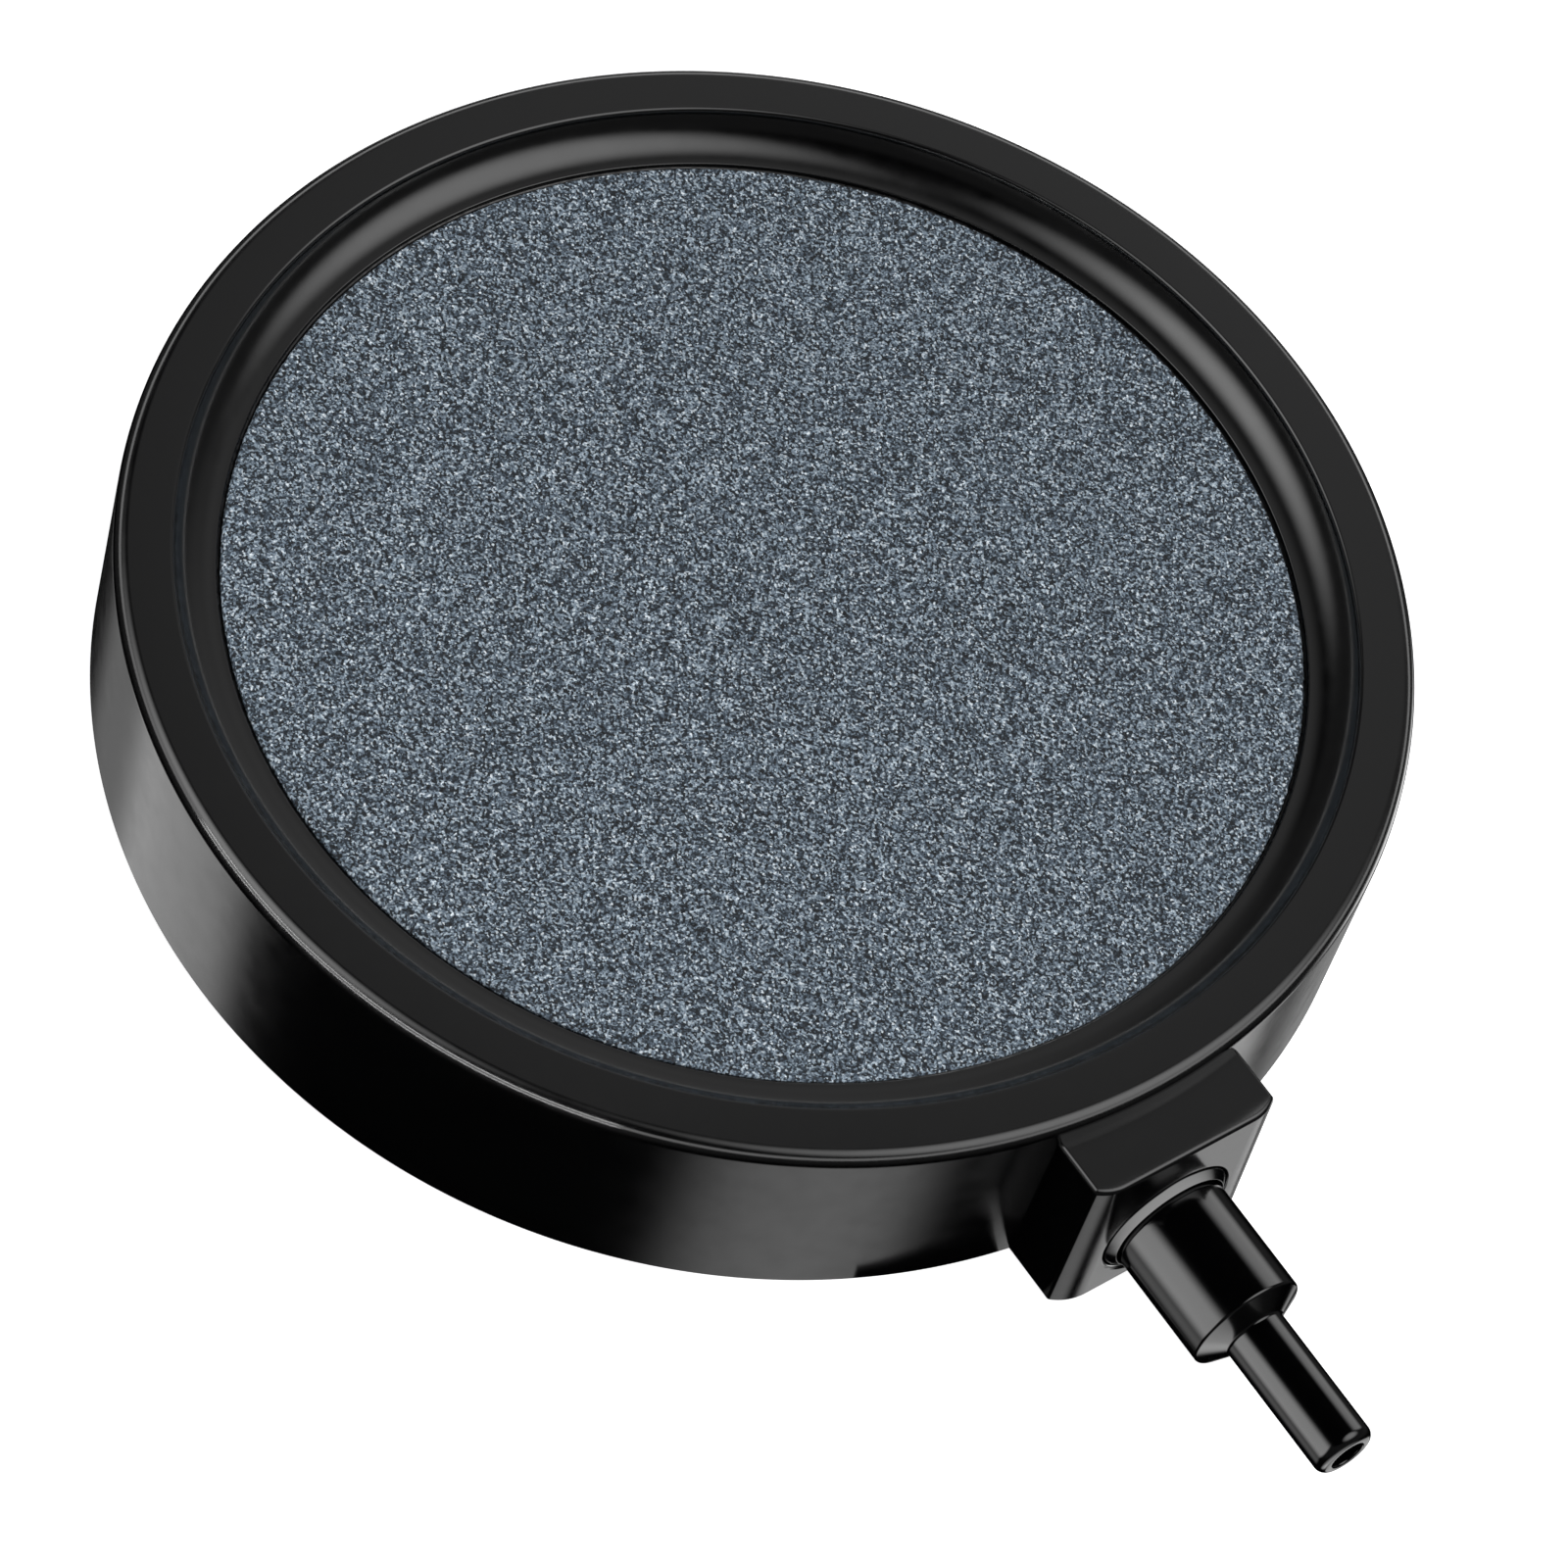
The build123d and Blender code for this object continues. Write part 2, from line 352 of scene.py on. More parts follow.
# %% Sizes of the stepped bore
duct_radius = 1.5
seal_bore_radius = 3.95
collar_radius = (collar_high.y - collar_low.y) / 2 / MM
recess_radius = collar_radius + 0.2
recess_depth = 1.5
flange_room = 2.1
tail_clearance = 0.15
lip = 0.25
collar_back = collar_low.x / MM
boss_face = collar_high.x / MM - collar_proud
recess_floor = boss_face - recess_depth
seal_bore_end = collar_back - flange_room
seal_bore_start = connector_low.x / MM - tail_clearance

# %% Cut the stepped bore
pin_corners = [
    (0, pocket - stone_seat - 1, 0),
    (duct_radius, pocket - stone_seat - 1, 0),
    (duct_radius, seal_bore_start, 0),
    (seal_bore_radius, seal_bore_start, 0),
    (seal_bore_radius, seal_bore_end, 0),
    (collar_radius, seal_bore_end, 0),
    (collar_radius, recess_floor, 0),
    (recess_radius, recess_floor, 0),
    (recess_radius, boss_face, lip),
    (recess_radius + lip, boss_face, 0),
    (recess_radius + lip, boss_face + 2, 0),
    (0, boss_face + 2, 0),
]
core_pin = turned("core_pin", rounded_outline(pin_corners), 128, along_connector)
combine(dish, [core_pin], "DIFFERENCE")

# %% [markdown]
# A moulding also shows how it was made. The plastic enters at a gate in the middle of the
# base, which leaves a small nub in a shallow well, and ejector pins push the part out and
# leave shallow round marks. They stay above the base plane, so the part still stands flat.

# %% Shallow cutters for the base
def base_tool(name, radius, depth, centre, nub_radius=0.0, nub_height=0.0):
    """Shallow round cutter that reaches up into the base, with a nub left in its middle."""
    corners = [
        (0, depth - nub_height, 0),
        (nub_radius, depth - nub_height, 0),
        (nub_radius, depth, 0),
        (radius, depth, 0.05),
        (radius, -1, 0),
        (0, -1, 0),
    ]
    if nub_radius == 0:
        corners = [(0, depth, 0)] + corners[3:]
    return turned(
        name,
        rounded_outline(corners),
        48,
        lambda a, b, along: (a + centre[0] * MM, b + centre[1] * MM, along),
    )


# %% Press the gate well and the ejector marks into the base
ejector_circle = 36.0
marks = [base_tool("gate_well", 4.0, 0.5, (0, 0), nub_radius=0.8, nub_height=0.35)]
for number in range(8):
    angle = 2 * math.pi * (number + 0.5) / 8
    centre = (ejector_circle * math.cos(angle), ejector_circle * math.sin(angle))
    marks.append(base_tool("ejector_mark", 2.5, 0.12, centre))
combine(dish, marks, "DIFFERENCE")
print("finished dish has", len(dish.data.polygons), "faces")


# %% [markdown]
# Shading decides whether a round piece looks round. Faces are shaded smooth, edges sharper
# than 30 degrees stay crisp, and weighted normals keep large flat faces flat right up to
# their thin rounded edges. More faces alone would not remove the grey smears there.

# %% Smooth shading
def shade(piece, sharp_degrees=30):
    """Smooth faces, crisp edges and flat-looking flats."""
    piece.data.shade_smooth()
    piece.data.set_sharp_from_angle(angle=math.radians(sharp_degrees))
    weights = piece.modifiers.new("weighted normals", "WEIGHTED_NORMAL")
    weights.keep_sharp = True
    weights.weight = 100


shade(dish)

# %% [markdown]
# The plate is mineral grit, about a third of a millimetre across, that was pressed with a
# little binder and fired, so its face is a crust of half-buried grains with pores between.
# A bump map alone goes flat at a low angle. Here each grain is a small ball at its own
# height, and the face follows whichever ball stands highest. Grains that fine need a mesh of
# about a quarter of a millimetre, which a square grid bent into a disc covers evenly.

# %% Lay a square grid over the disc
grid_cells = 300
stone_edge = 0.35 * MM
line = np.linspace(-1, 1, grid_cells + 1)
across, along = np.meshgrid(line, line, indexing="ij")
wide = np.abs(across) > np.abs(along)
reach = np.where(wide, across, along)
safe = np.where(reach == 0, 1, reach)
bearing = np.where(wide, math.pi / 4 * along / safe, math.pi / 2 - math.pi / 4 * across / safe)
flat_radius = stone_radius - stone_edge
grid_x = reach * np.cos(bearing) * flat_radius
grid_y = reach * np.sin(bearing) * flat_radius
print("grid spacing about", round(math.sqrt(math.pi) * flat_radius / grid_cells / MM, 3), "mm")

# %% Let the highest grain win at each point
grain_pitch = 0.34 * MM
grain_radius = (0.20 * MM, 0.27 * MM)
grain_depth = 0.06 * MM
pore_depth = 0.13 * MM
shake = np.random.default_rng(7)
cells = 600
jitter = shake.random((cells, cells, 2))
radii = grain_radius[0] + shake.random((cells, cells)) * (grain_radius[1] - grain_radius[0])
sink = shake.random((cells, cells)) ** 1.5 * grain_depth
tones = shake.random((cells, cells))

column = np.floor(grid_x / grain_pitch).astype(int)
row = np.floor(grid_y / grain_pitch).astype(int)
relief = np.full(grid_x.shape, -pore_depth)
tone = np.full(grid_x.shape, 0.1)
for step_x in (-1, 0, 1):
    for step_y in (-1, 0, 1):
        i, j = (column + step_x) % cells, (row + step_y) % cells
        grain_x = (column + step_x + jitter[i, j, 0]) * grain_pitch
        grain_y = (row + step_y + jitter[i, j, 1]) * grain_pitch
        gap = (grid_x - grain_x) ** 2 + (grid_y - grain_y) ** 2
        dome = np.sqrt(np.clip(radii[i, j] ** 2 - gap, 0, None)) - radii[i, j] - sink[i, j]
        higher = (gap < radii[i, j] ** 2) & (dome > relief)
        relief = np.where(higher, dome, relief)
        tone = np.where(higher, tones[i, j], tone)
print("grain relief: mean depth", round(-relief.mean() / MM, 3), "mm")

# %% Close the plate with its edge and underside
rows = grid_cells + 1
vertices = np.c_[grid_x.ravel(), grid_y.ravel(), (stone_high.z + relief).ravel()]
index = np.arange(rows * rows).reshape(rows, rows)
faces = np.c_[
    index[:-1, :-1].ravel(), index[1:, :-1].ravel(), index[1:, 1:].ravel(), index[:-1, 1:].ravel()
].tolist()
border = np.r_[index[:-1, 0], index[-1, :-1], index[:0:-1, -1], index[0, :0:-1]]
edge_steps = [
    (flat_radius + 0.2 * MM, stone_high.z - 0.08 * MM),
    (stone_radius, stone_high.z - stone_edge),
    (stone_radius, stone_low.z + stone_edge),
    (flat_radius, stone_low.z),
]
direction = vertices[border, :2] / np.linalg.norm(vertices[border, :2], axis=1)[:, None]
vertices = vertices.tolist()
loop = border.tolist()
for radius, height in edge_steps:
    start = len(vertices)
    rough = (shake.random(len(loop)) - 1) * 0.07 * MM
    for (x, y), bite in zip(direction, rough):
        vertices.append((x * (radius + bite), y * (radius + bite), height))
    fresh = list(range(start, start + len(loop)))
    for step in range(len(loop)):
        beside = (step + 1) % len(loop)
        faces.append([loop[step], loop[beside], fresh[beside], fresh[step]])
    loop = fresh
faces.append(loop)
stone = mesh_piece("porous_stone", vertices, faces)
stone.data.shade_smooth()
print("stone has", len(stone.data.polygons), "faces")

# %% Keep each grain's tone and depth for the material
flat_tone = np.full(len(stone.data.vertices), 0.35)
flat_depth = np.full(len(stone.data.vertices), 0.5)
flat_tone[: rows * rows] = tone.ravel()
flat_depth[: rows * rows] = np.clip(-relief.ravel() / pore_depth, 0, 1)
for name, values in (("grain_tone", flat_tone), ("grain_depth", flat_depth)):
    attribute = stone.data.attributes.new(name, "FLOAT", "POINT")
    attribute.data.foreach_set("value", values)

# %% [markdown]
# A bead of epoxy fills the gap between the stone and its pocket. It was poured, so its face
# is a shallow hollow that creeps up both walls, and its level wanders a little round the
# ring. A plain ring would read as a printed line.

# %% Pour the epoxy bead
bead_corners = [
    (stone_radius / MM, bond_low.z / MM, 0),
    (pocket, bond_low.z / MM, 0),
    (pocket, bond_high.z / MM, 0),
    (pocket - 0.07, bond_high.z / MM - 0.06, 0),
    (pocket - 0.15, bond_high.z / MM - 0.09, 0),
    (pocket - 0.23, bond_high.z / MM - 0.06, 0),
    (stone_radius / MM, bond_high.z / MM, 0),
]
bead = turned("epoxy_bead", rounded_outline(bead_corners), dish_steps, upright)
for vertex in bead.data.vertices:
    if vertex.co.z > bond_low.z + 1 * MM:
        angle = math.atan2(vertex.co.y, vertex.co.x)
        wander = math.sin(5 * angle) + math.sin(13 * angle + 1) + math.sin(31 * angle + 2)
        vertex.co.z -= (3 + wander) * 0.02 * MM
shade(bead, 50)

# %% [markdown]
# The connector is turned in one outline, from its sealing tail inside the boss to the
# rounded tip of the small nipple. Hoses are pushed over it, so its steps end in a cone and
# a full round, and nothing is sharp enough to cut a hose. The neck behind the large step is
# a quarter of a millimetre thinner, which draws the fine dark line next to the collar.

# %% Sizes of the hose connector
tail = connector_low.x / MM
tip = connector_high.x / MM
flange_radius = (connector_high.y - connector_low.y) / 2 / MM
hose_step_radius = 5.0
nipple_radius = 2.65
bore_radius = 1.45
neck_radius = 4.75
tail_radius = 3.9
groove_floor = 2.85
flange_back = tail + 4.8
flange_front = flange_back + 1.9
groove_back = flange_back - 2.9
groove_front = flange_back - 1.3
hose_step_start = collar_high.x / MM + 0.25
hose_step_end = hose_step_start + 10.1
nipple_start = hose_step_end + 1.1

# %% Turn the hose connector
connector_corners = [
    (bore_radius, tail, 0.15),
    (tail_radius, tail, 0.4),
    (tail_radius, groove_back, 0.08),
    (groove_floor, groove_back, 0.1),
    (groove_floor, groove_front, 0.1),
    (tail_radius, groove_front, 0.08),
    (tail_radius, flange_back, 0.1),
    (flange_radius, flange_back, 0.12),
    (flange_radius, flange_front, 0.12),
    (neck_radius, flange_front, 0.12),
    (neck_radius, hose_step_start, 0.05),
    (hose_step_radius, hose_step_start, 0.15),
    (hose_step_radius, hose_step_end, 0.3),
    (nipple_radius, nipple_start, 0.3),
    (nipple_radius, tip, 0.85),
    (bore_radius, tip, 0.2),
]
connector = turned("hose_connector", rounded_outline(connector_corners), 160, along_connector)
shade(connector)
print("connector is", round(tip - tail, 1), "mm long")

# %% [markdown]
# A pressed-in ring holds the connector in the boss and lets it turn. Its front edge is
# chamfered, so that it finds its seat, and the chamfer catches the light as a pale ring.
# It is a piece of its own, because only a real gap gives the thin dark line beside it.

# %% Turn the retaining collar
collar_bore = 5.04
collar_front = collar_high.x / MM
collar_corners = [
    (collar_bore, collar_back, 0.1),
    (collar_radius, collar_back, 0.15),
    (collar_radius, collar_front - 0.61, 0.1),
    (collar_bore + 0.18, collar_front, 0.04),
    (collar_bore, collar_front - 0.14, 0.04),
]
collar = turned("collar_ring", rounded_outline(collar_corners), 160, along_connector)
shade(collar)

# %% [markdown]
# Each new piece now takes the place of its measured node and rides on the body that node
# belongs to. The dish pieces stay still and the connector turns. The seal is already right
# in the frame, so its node stays and only gets a material.

# %% Seat the pieces on the frame
seats = [
    (dish, "housing", "dish"),
    (stone, "stone_disc", "dish"),
    (bead, "stone_adhesive", "dish"),
    (collar, "retaining_collar", "dish"),
    (connector, "nozzle", "connector"),
]
for piece, node, body in seats:
    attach(piece, body)
    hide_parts(node)
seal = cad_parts["nozzle_o_ring"]


# %% [markdown]
# Materials are built from nodes. Four small helpers keep that readable. One turns the hex
# colours of a paint chart into the linear values that light is computed with, and one adds
# a node together with its settings and links. One starts a material, and one turns a size
# in millimetres into the scale of a pattern.

# %% Helpers for colours and nodes
def linear(hex_colour):
    """sRGB hex such as "1a2b3c" as linear red, green, blue and alpha."""
    channels = [int(hex_colour[at : at + 2], 16) / 255 for at in (0, 2, 4)]
    curved = [c / 12.92 if c <= 0.04045 else ((c + 0.055) / 1.055) ** 2.4 for c in channels]
    return (*curved, 1.0)


def add_node(tree, kind, settings, links):
    """A new node. Settings fill sockets or options by name, and links join sockets to it."""
    node = tree.nodes.new(kind)
    for name, value in settings.items():
        if isinstance(name, int) or name in node.inputs:
            node.inputs[name].default_value = value
        else:
            setattr(node, name, value)
    for name, source in links.items():
        tree.links.new(source, node.inputs[name])
    return node


# %% Helpers for a new material and its pattern sizes
def start_material(name, colour):
    """New material: its node tree, its shader and coordinates in metres."""
    material = bpy.data.materials.new(name)
    material.use_nodes = True
    material.diffuse_color = colour
    tree = material.node_tree
    shader = tree.nodes["Principled BSDF"]
    place = tree.nodes.new("ShaderNodeTexCoord").outputs["Object"]
    return material, tree, shader, place


def per_metre(millimetres):
    """Texture scale that makes one feature as wide as this."""
    return 1 / (millimetres * MM)


# %% [markdown]
# The dish is ABS, injection moulded against a polished steel mould. That gives the eye a
# deep black with clear reflections that are only slightly blurred. ABS has an IOR of 1.54.
# Close up, a moulded face isn't perfect: it is very slightly uneven, about a millimetre from
# one swell to the next, and some patches are a touch duller. Both are kept weak.

# %% Moulded black ABS
abs_black = linear("020202")
abs_grey = linear("040405")
moulded_abs, tree, shader, place = start_material("moulded_black_abs", abs_black)
shader.inputs["IOR"].default_value = 1.54

patches = add_node(tree, "ShaderNodeTexNoise",
                   {"Scale": per_metre(14), "Detail": 3.0}, {"Vector": place})
tint = add_node(tree, "ShaderNodeValToRGB", {}, {"Fac": patches.outputs["Fac"]})
tint.color_ramp.elements[0].color = abs_black
tint.color_ramp.elements[1].color = abs_grey
tree.links.new(tint.outputs["Color"], shader.inputs["Base Color"])

haze = add_node(tree, "ShaderNodeTexNoise",
                {"Scale": per_metre(2.5), "Detail": 5.0, "Roughness": 0.6}, {"Vector": place})
dullness = add_node(tree, "ShaderNodeMapRange",
                    {"From Min": 0.3, "From Max": 0.7, "To Min": 0.15, "To Max": 0.21},
                    {"Value": haze.outputs["Fac"]})
tree.links.new(dullness.outputs["Result"], shader.inputs["Roughness"])

swell = add_node(tree, "ShaderNodeTexNoise",
                 {"Scale": per_metre(1.1), "Detail": 2.0}, {"Vector": place})
uneven = add_node(tree, "ShaderNodeBump", {"Strength": 1.0, "Distance": 0.0015 * MM},
                  {"Height": swell.outputs["Fac"]})
tree.links.new(uneven.outputs["Normal"], shader.inputs["Normal"])
dish.data.materials.clear()
dish.data.materials.append(moulded_abs)
print("dish material:", moulded_abs.name)

# %% [markdown]
# Connector and collar are the same ABS, but from a lathe-turned mould that was polished
# harder, because a smooth nipple seals better. Reflections are sharper, and the turning
# left very fine rings round the axis. Real ones are about 0.05 mm apart. They are drawn
# 0.2 mm apart, because finer ones would vanish in a picture of the whole part.

# %% Polished black ABS
polished_abs, tree, shader, place = start_material("polished_black_abs", abs_black)
shader.inputs["IOR"].default_value = 1.54
patches = add_node(tree, "ShaderNodeTexNoise",
                   {"Scale": per_metre(6), "Detail": 3.0}, {"Vector": place})
tint = add_node(tree, "ShaderNodeValToRGB", {}, {"Fac": patches.outputs["Fac"]})
tint.color_ramp.elements[0].color = abs_black
tint.color_ramp.elements[1].color = abs_grey
tree.links.new(tint.outputs["Color"], shader.inputs["Base Color"])

haze = add_node(tree, "ShaderNodeTexNoise",
                {"Scale": per_metre(1.5), "Detail": 4.0}, {"Vector": place})
dullness = add_node(tree, "ShaderNodeMapRange",
                    {"From Min": 0.3, "From Max": 0.7, "To Min": 0.09, "To Max": 0.13},
                    {"Value": haze.outputs["Fac"]})
tree.links.new(dullness.outputs["Result"], shader.inputs["Roughness"])

rings = add_node(tree, "ShaderNodeTexWave",
                 {"wave_type": "BANDS", "bands_direction": "X", "Scale": per_metre(0.2) / 20,
                  "Distortion": 1.5, "Detail": 2.0}, {"Vector": place})
turning = add_node(tree, "ShaderNodeBump", {"Strength": 0.5, "Distance": 0.0002 * MM},
                   {"Height": rings.outputs["Fac"]})
tree.links.new(turning.outputs["Normal"], shader.inputs["Normal"])
for piece in (connector, collar):
    piece.data.materials.clear()
    piece.data.materials.append(polished_abs)

# %% [markdown]
# The stone is fused alumina grit, bonded and fired. The eye sees a blue-grey face that
# sparkles a little: most grains are mid grey, a few are nearly white, some are dark, and the
# pores between them are in shade. The mesh already holds the larger grains, and each keeps
# its own tone. Finer grit, just under 0.2 mm across, is added by cells in the material.
# A second pattern of soft clumps keeps the face from looking like even noise.

# %% Fired mineral grit
stone_mid = linear("59646e")
fired_stone, tree, shader, place = start_material("fired_mineral_grit", stone_mid)
shader.inputs["IOR"].default_value = 1.6
own_tone = add_node(tree, "ShaderNodeAttribute", {"attribute_name": "grain_tone"}, {})
depth = add_node(tree, "ShaderNodeAttribute", {"attribute_name": "grain_depth"}, {})
grit = add_node(tree, "ShaderNodeTexVoronoi", {"Scale": per_metre(0.18)}, {"Vector": place})
grit_tone = add_node(tree, "ShaderNodeSeparateColor", {}, {"Color": grit.outputs["Color"]})
clumps = add_node(tree, "ShaderNodeTexNoise",
                  {"Scale": per_metre(0.24), "Detail": 1.0, "Roughness": 0.6}, {"Vector": place})
spread = add_node(tree, "ShaderNodeMapRange", {"From Min": 0.3, "From Max": 0.7},
                  {"Value": clumps.outputs["Fac"]})
grains = add_node(tree, "ShaderNodeMix", {"data_type": "FLOAT", 0: 0.15},
                  {2: grit_tone.outputs["Red"], 3: own_tone.outputs["Fac"]})
mixed = add_node(tree, "ShaderNodeMix", {"data_type": "FLOAT", 0: 0.25},
                 {2: grains.outputs[0], 3: spread.outputs["Result"]})
colours = add_node(tree, "ShaderNodeValToRGB", {}, {"Fac": mixed.outputs[0]})
ramp = colours.color_ramp.elements
ramp[0].position, ramp[0].color = 0.12, linear("020406")
ramp[1].position, ramp[1].color = 0.88, linear("eef5fb")
for position, colour in ((0.35, "1a242e"), (0.5, "485664"), (0.64, "8191a0"), (0.76, "adbdca")):
    stop = ramp.new(position)
    stop.color = linear(colour)
shade_in_pores = add_node(tree, "ShaderNodeMapRange",
                          {"From Min": 0.2, "From Max": 1.0, "To Min": 1.0, "To Max": 0.6},
                          {"Value": depth.outputs["Fac"]})
stone_colour = add_node(tree, "ShaderNodeVectorMath", {"operation": "SCALE"},
                        {0: colours.outputs["Color"], "Scale": shade_in_pores.outputs["Result"]})
tree.links.new(stone_colour.outputs["Vector"], shader.inputs["Base Color"])

# %% Grit bump and glints
glint = add_node(tree, "ShaderNodeMapRange",
                 {"From Min": 0.86, "From Max": 0.9, "To Min": 0.85, "To Max": 0.4},
                 {"Value": grit_tone.outputs["Green"]})
tree.links.new(glint.outputs["Result"], shader.inputs["Roughness"])
grit_relief = add_node(tree, "ShaderNodeMath", {"operation": "SUBTRACT", 0: 0.5},
                       {1: grit.outputs["Distance"]})
rough_grit = add_node(tree, "ShaderNodeBump", {"Strength": 0.7, "Distance": 0.05 * MM},
                      {"Height": grit_relief.outputs["Value"]})
tree.links.new(rough_grit.outputs["Normal"], shader.inputs["Normal"])
stone.data.materials.clear()
stone.data.materials.append(fired_stone)

# %% [markdown]
# Cured epoxy, tinted black, was poured and left to set. It is glossy with a few dull
# patches where dust from the stone settled into it. One even gloss would look like paint.

# %% Poured black epoxy
poured_epoxy, tree, shader, place = start_material("poured_black_epoxy", linear("08080a"))
shader.inputs["Base Color"].default_value = linear("08080a")
shader.inputs["IOR"].default_value = 1.55
dust = add_node(tree, "ShaderNodeTexNoise",
                {"Scale": per_metre(0.8), "Detail": 4.0}, {"Vector": place})
dullness = add_node(tree, "ShaderNodeMapRange",
                    {"From Min": 0.4, "From Max": 0.7, "To Min": 0.25, "To Max": 0.6},
                    {"Value": dust.outputs["Fac"]})
tree.links.new(dullness.outputs["Result"], shader.inputs["Roughness"])
bead.data.materials.clear()
bead.data.materials.append(poured_epoxy)

# %% [markdown]
# The seal is nitrile rubber, pressed in a mould and left matt. Its fine grain is about a
# tenth of a millimetre. It hides inside the boss and shows only in a cut model.

# %% Nitrile rubber
nitrile, tree, shader, place = start_material("nitrile_rubber", linear("111111"))
shader.inputs["Base Color"].default_value = linear("111111")
shader.inputs["IOR"].default_value = 1.52
bloom = add_node(tree, "ShaderNodeTexNoise",
                 {"Scale": per_metre(0.1), "Detail": 2.0}, {"Vector": place})
dullness = add_node(tree, "ShaderNodeMapRange", {"To Min": 0.5, "To Max": 0.7},
                    {"Value": bloom.outputs["Fac"]})
tree.links.new(dullness.outputs["Result"], shader.inputs["Roughness"])
grain = add_node(tree, "ShaderNodeBump", {"Strength": 0.4, "Distance": 0.003 * MM},
                 {"Height": bloom.outputs["Fac"]})
tree.links.new(grain.outputs["Normal"], shader.inputs["Normal"])
seal.data.materials.clear()
seal.data.materials.append(nitrile)
seal.data.shade_smooth()

# %% [markdown]
# Black gloss shows its surroundings more than itself, so the studio matters as much as the
# plastic. The part stands on a light table: a pale sheet under glass that glows a little and
# swallows the shadows. In mirror reflections the sheet is left out, so that black gloss sees
# the soft lights below it instead, which is how the skirt gets its bright bands.

# %% White table
floor_radius = 3.0
table = mesh_piece("white_table", [
    (floor_radius * math.cos(a), floor_radius * math.sin(a), 0)
    for a in np.linspace(0, 2 * math.pi, 64, endpoint=False)
], [list(range(64))])
table.location.z = -0.02 * MM
paper, tree, shader, place = start_material("matt_white_sheet", linear("f4f4f4"))
fibres = add_node(tree, "ShaderNodeTexNoise",
                  {"Scale": per_metre(3), "Detail": 3.0}, {"Vector": place})
tint = add_node(tree, "ShaderNodeValToRGB", {}, {"Fac": fibres.outputs["Fac"]})
tint.color_ramp.elements[0].color = linear("f3f3f3")
tint.color_ramp.elements[1].color = linear("f5f5f5")
tree.links.new(tint.outputs["Color"], shader.inputs["Base Color"])
shader.inputs["Roughness"].default_value = 0.9
shader.inputs["Specular IOR Level"].default_value = 0.1
shader.inputs["Emission Color"].default_value = linear("ffffff")
shader.inputs["Emission Strength"].default_value = 1.0
table.data.materials.append(paper)
table.visible_glossy = False

# %% [markdown]
# The left side of the boss faces one of the lights below the table and would shine. A
# photographer lays a black card there, so that the side mirrors the card and stays black.
# The camera doesn't see this one: it lies just under the glass and shows only in reflections.
# Moving the light away would be simpler, but the skirt needs it for its bright band.

# %% Black card under the glass
card_depth = -1.5
card_outline = [(50, -9.7), (56.8, -9.7), (54.5, -16), (51, -22), (42, -22)]
card = mesh_piece("black_card", [(x * MM, y * MM, card_depth * MM) for x, y in card_outline],
                  [list(range(len(card_outline)))])
velvet, tree, shader, place = start_material("black_velvet", linear("010101"))
weave = add_node(tree, "ShaderNodeTexNoise",
                 {"Scale": per_metre(0.5), "Detail": 2.0}, {"Vector": place})
tint = add_node(tree, "ShaderNodeValToRGB", {}, {"Fac": weave.outputs["Fac"]})
tint.color_ramp.elements[0].color = linear("000000")
tint.color_ramp.elements[1].color = linear("020202")
tree.links.new(tint.outputs["Color"], shader.inputs["Base Color"])
shader.inputs["Roughness"].default_value = 1.0
shader.inputs["Specular IOR Level"].default_value = 0.0
card.data.materials.append(velvet)
card.visible_camera = False
print("black card lies", -card_depth, "mm under the table top")

# %% [markdown]
# The soft windows that all pieces share are painted into the world around the part, each by
# its direction, its size and its strength. Lamps would do too, but a window in the world has
# no distance, so it is placed by the one thing that counts for gloss: the direction it is
# seen in. The part mirrors the lights below it in its upright walls.

# %% Soft windows around the part
studio = bpy.data.worlds.new("studio")
studio.use_nodes = True
bpy.context.scene.world = studio
tree = studio.node_tree
tree.nodes.clear()
towards = tree.nodes.new("ShaderNodeTexCoord").outputs["Generated"]

# name: (degrees round from +X, degrees up, full inside, dark outside, strength)
windows = {
    "main window, right": (42, 57, 4, 35, 3.0),
    "low back light": (122, -31, 5, 9, 3.0),
    "low left light": (143, -28, 5, 12, 2.4),
    "under light, back": (110, -56, 5, 12, 0.4),
    "under light, left": (-147, -56, 7, 13, 1.25),
    "under light, far left": (-176, -54, 5, 12, 0.35),
    "under light, front": (-9, -58, 0, 15, 1.05),
    "under light, right": (58, -55, 12, 16, 1.1),
}


# %% One window in the world
def window(azimuth, elevation, inner, outer_edge, strength):
    """Light from one direction, full up to one angle from it and gone at another."""
    a, e = math.radians(azimuth), math.radians(elevation)
    aim = (math.cos(e) * math.cos(a), math.cos(e) * math.sin(a), math.sin(e))
    facing = add_node(tree, "ShaderNodeVectorMath",
                      {"operation": "DOT_PRODUCT", 1: aim}, {0: towards})
    fade = add_node(tree, "ShaderNodeMapRange",
                    {"interpolation_type": "SMOOTHSTEP",
                     "From Min": math.cos(math.radians(outer_edge)),
                     "From Max": math.cos(math.radians(inner)),
                     "To Min": 0.0, "To Max": strength},
                    {"Value": facing.outputs["Value"]})
    return fade.outputs["Result"]


